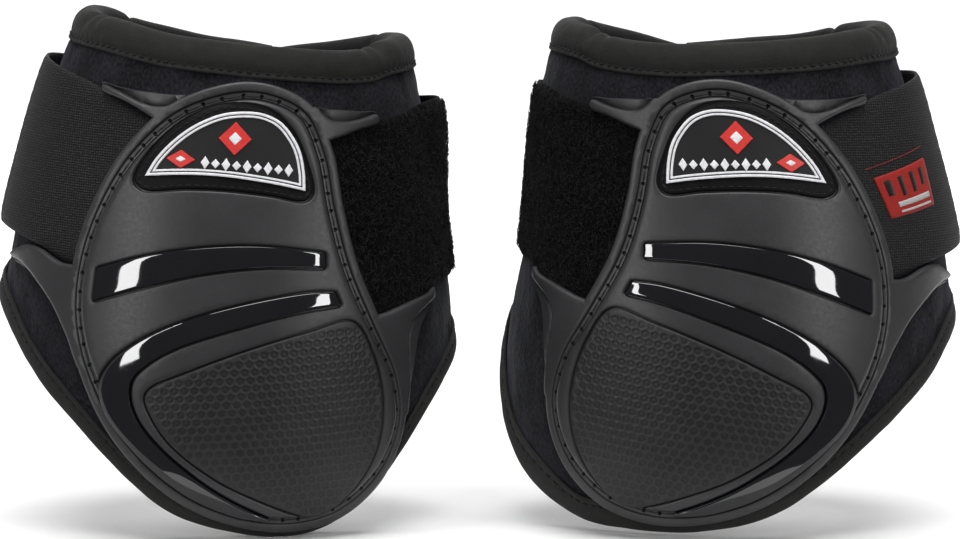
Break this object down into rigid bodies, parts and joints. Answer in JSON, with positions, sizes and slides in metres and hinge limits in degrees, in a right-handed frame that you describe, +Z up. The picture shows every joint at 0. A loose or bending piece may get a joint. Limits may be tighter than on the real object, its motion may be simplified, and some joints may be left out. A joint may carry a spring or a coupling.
{
  "type": "fetlock boots",
  "caption": "Pair of short padded fetlock boots for a horse's hind legs, each a wrap with a moulded outer shell, an elastic hook-and-loop strap and a padded collar.",
  "frame": {"origin": "middle of the left boot's leg opening, half way up the boot", "axes": "+X from the left boot to the right boot, -Y towards the shells, +Z up the leg"},
  "size_m": [0.2979, 0.1346, 0.1581],
  "materials": {
    "shell": "satin charcoal moulded shell",
    "gloss_rib": "high gloss black",
    "hex_panel": "matte with a moulded honeycomb",
    "badge": "matte black",
    "badge_border": "matte white",
    "badge_emblem": "matte red",
    "foam": "closed-cell foam",
    "liner": "brushed stretch fabric over foam rubber",
    "lining": "soft knit",
    "collar": "smooth stretch binding",
    "strap": "woven elastic",
    "hook": "moulded hooks",
    "pull_tab": "ribbed matte",
    "loop": "napped loop pile",
    "label": "woven label"
  },
  "bodies": {
    "left_boot": {"left_shell": "shell", "left_badge_patch": "badge", "left_badge_border": "badge_border", "left_badge_emblem": "badge_emblem", "left_upper_gloss_rib": "gloss_rib", "left_lower_gloss_rib": "gloss_rib", "left_hex_panel": "hex_panel", "left_impact_pad": "foam", "left_strap_base": "strap", "left_loop_base": "loop", "left_liner_front": "liner", "left_lining_front": "lining", "left_collar_front": "collar", "left_hem_front": "collar"},
    "left_strap_side": {"left_strap_side": "strap"},
    "left_strap_back": {"left_strap_back": "strap"},
    "left_strap_tip": {"left_strap_tip": "strap", "left_hook_pad": "hook", "left_pull_tab": "pull_tab"},
    "left_loop_wing": {"left_loop_panel": "loop", "left_liner_loop_wing": "liner", "left_lining_loop_wing": "lining", "left_collar_loop_wing": "collar", "left_hem_loop_wing": "collar"},
    "left_strap_wing": {"left_liner_strap_wing": "liner", "left_lining_strap_wing": "lining", "left_collar_strap_wing": "collar", "left_hem_strap_wing": "collar"},
    "right_boot": {"right_shell": "shell", "right_badge_patch": "badge", "right_badge_border": "badge_border", "right_badge_emblem": "badge_emblem", "right_upper_gloss_rib": "gloss_rib", "right_lower_gloss_rib": "gloss_rib", "right_hex_panel": "hex_panel", "right_impact_pad": "foam", "right_strap_base": "strap", "right_loop_base": "loop", "right_liner_front": "liner", "right_lining_front": "lining", "right_collar_front": "collar", "right_hem_front": "collar"},
    "right_strap_side": {"right_strap_side": "strap", "right_strap_label": "label"},
    "right_strap_back": {"right_strap_back": "strap"},
    "right_strap_tip": {"right_strap_tip": "strap", "right_hook_pad": "hook", "right_pull_tab": "pull_tab"},
    "right_loop_wing": {"right_loop_panel": "loop", "right_liner_loop_wing": "liner", "right_lining_loop_wing": "lining", "right_collar_loop_wing": "collar", "right_hem_loop_wing": "collar"},
    "right_strap_wing": {"right_liner_strap_wing": "liner", "right_lining_strap_wing": "lining", "right_collar_strap_wing": "collar", "right_hem_strap_wing": "collar"}
  },
  "joints": [
    {"name": "left_strap_side_hinge", "type": "hinge", "parent": "left_boot", "child": "left_strap_side", "pos_m": [-0.04499, -0.0431, 0.02849], "axis": [0.2026, 0.1402, 0.9692], "range_deg": [0, 75]},
    {"name": "left_strap_back_hinge", "type": "hinge", "parent": "left_strap_side", "child": "left_strap_back", "pos_m": [-0.05922, 0.02357, 0.03603], "axis": [0.2569, -0.0771, 0.9634], "range_deg": [0, 60]},
    {"name": "left_strap_tip_hinge", "type": "hinge", "parent": "left_strap_back", "child": "left_strap_tip", "pos_m": [-0.00568, 0.05812, 0.02637], "axis": [0.0735, -0.1784, 0.9812], "range_deg": [0, 45.1]},
    {"name": "left_strap_wing_hinge", "type": "hinge", "parent": "left_boot", "child": "left_strap_wing", "pos_m": [-0.06026, -0.01281, 0.02984], "axis": [0.2538, 0.0419, 0.9664], "range_deg": [0, 35.1]},
    {"name": "left_loop_wing_hinge", "type": "hinge", "parent": "left_boot", "child": "left_loop_wing", "pos_m": [0.06195, -0.02465, 0.01242], "axis": [0.1101, -0.065, -0.9918], "range_deg": [0, 15.1]},
    {"name": "right_strap_side_hinge", "type": "hinge", "parent": "right_boot", "child": "right_strap_side", "pos_m": [0.20225, -0.04115, 0.02375], "axis": [0.1859, -0.1301, -0.9739], "range_deg": [0, 75]},
    {"name": "right_strap_back_hinge", "type": "hinge", "parent": "right_strap_side", "child": "right_strap_back", "pos_m": [0.21406, 0.02602, 0.0301], "axis": [0.2318, 0.0859, -0.969], "range_deg": [0, 60]},
    {"name": "right_strap_tip_hinge", "type": "hinge", "parent": "right_strap_back", "child": "right_strap_tip", "pos_m": [0.15878, 0.05832, 0.02589], "axis": [0.046, 0.1801, -0.9826], "range_deg": [0, 45.1]},
    {"name": "right_strap_wing_hinge", "type": "hinge", "parent": "right_boot", "child": "right_strap_wing", "pos_m": [0.21603, -0.01027, 0.02348], "axis": [0.201, -0.0319, -0.9791], "range_deg": [0, 35.1]},
    {"name": "right_loop_wing_hinge", "type": "hinge", "parent": "right_boot", "child": "right_loop_wing", "pos_m": [0.09328, -0.02725, 0.0189], "axis": [0.1676, 0.0712, 0.9833], "range_deg": [0, 15.1]},
    {"name": "right_boot_slide", "type": "slide", "parent": "left_boot", "child": "right_boot", "axis": [1, 0, 0], "range_m": [0, 0.15]}
  ],
  "couplings": [
    {"joint": "left_strap_wing_hinge", "follows": "left_strap_side_hinge", "ratio": 0.46667},
    {"joint": "left_strap_tip_hinge", "follows": "left_strap_back_hinge", "ratio": 0.75},
    {"joint": "left_loop_wing_hinge", "follows": "left_strap_back_hinge", "ratio": 0.25},
    {"joint": "right_strap_wing_hinge", "follows": "right_strap_side_hinge", "ratio": 0.46667},
    {"joint": "right_strap_tip_hinge", "follows": "right_strap_back_hinge", "ratio": 0.75},
    {"joint": "right_loop_wing_hinge", "follows": "right_strap_back_hinge", "ratio": 0.25}
  ]
}
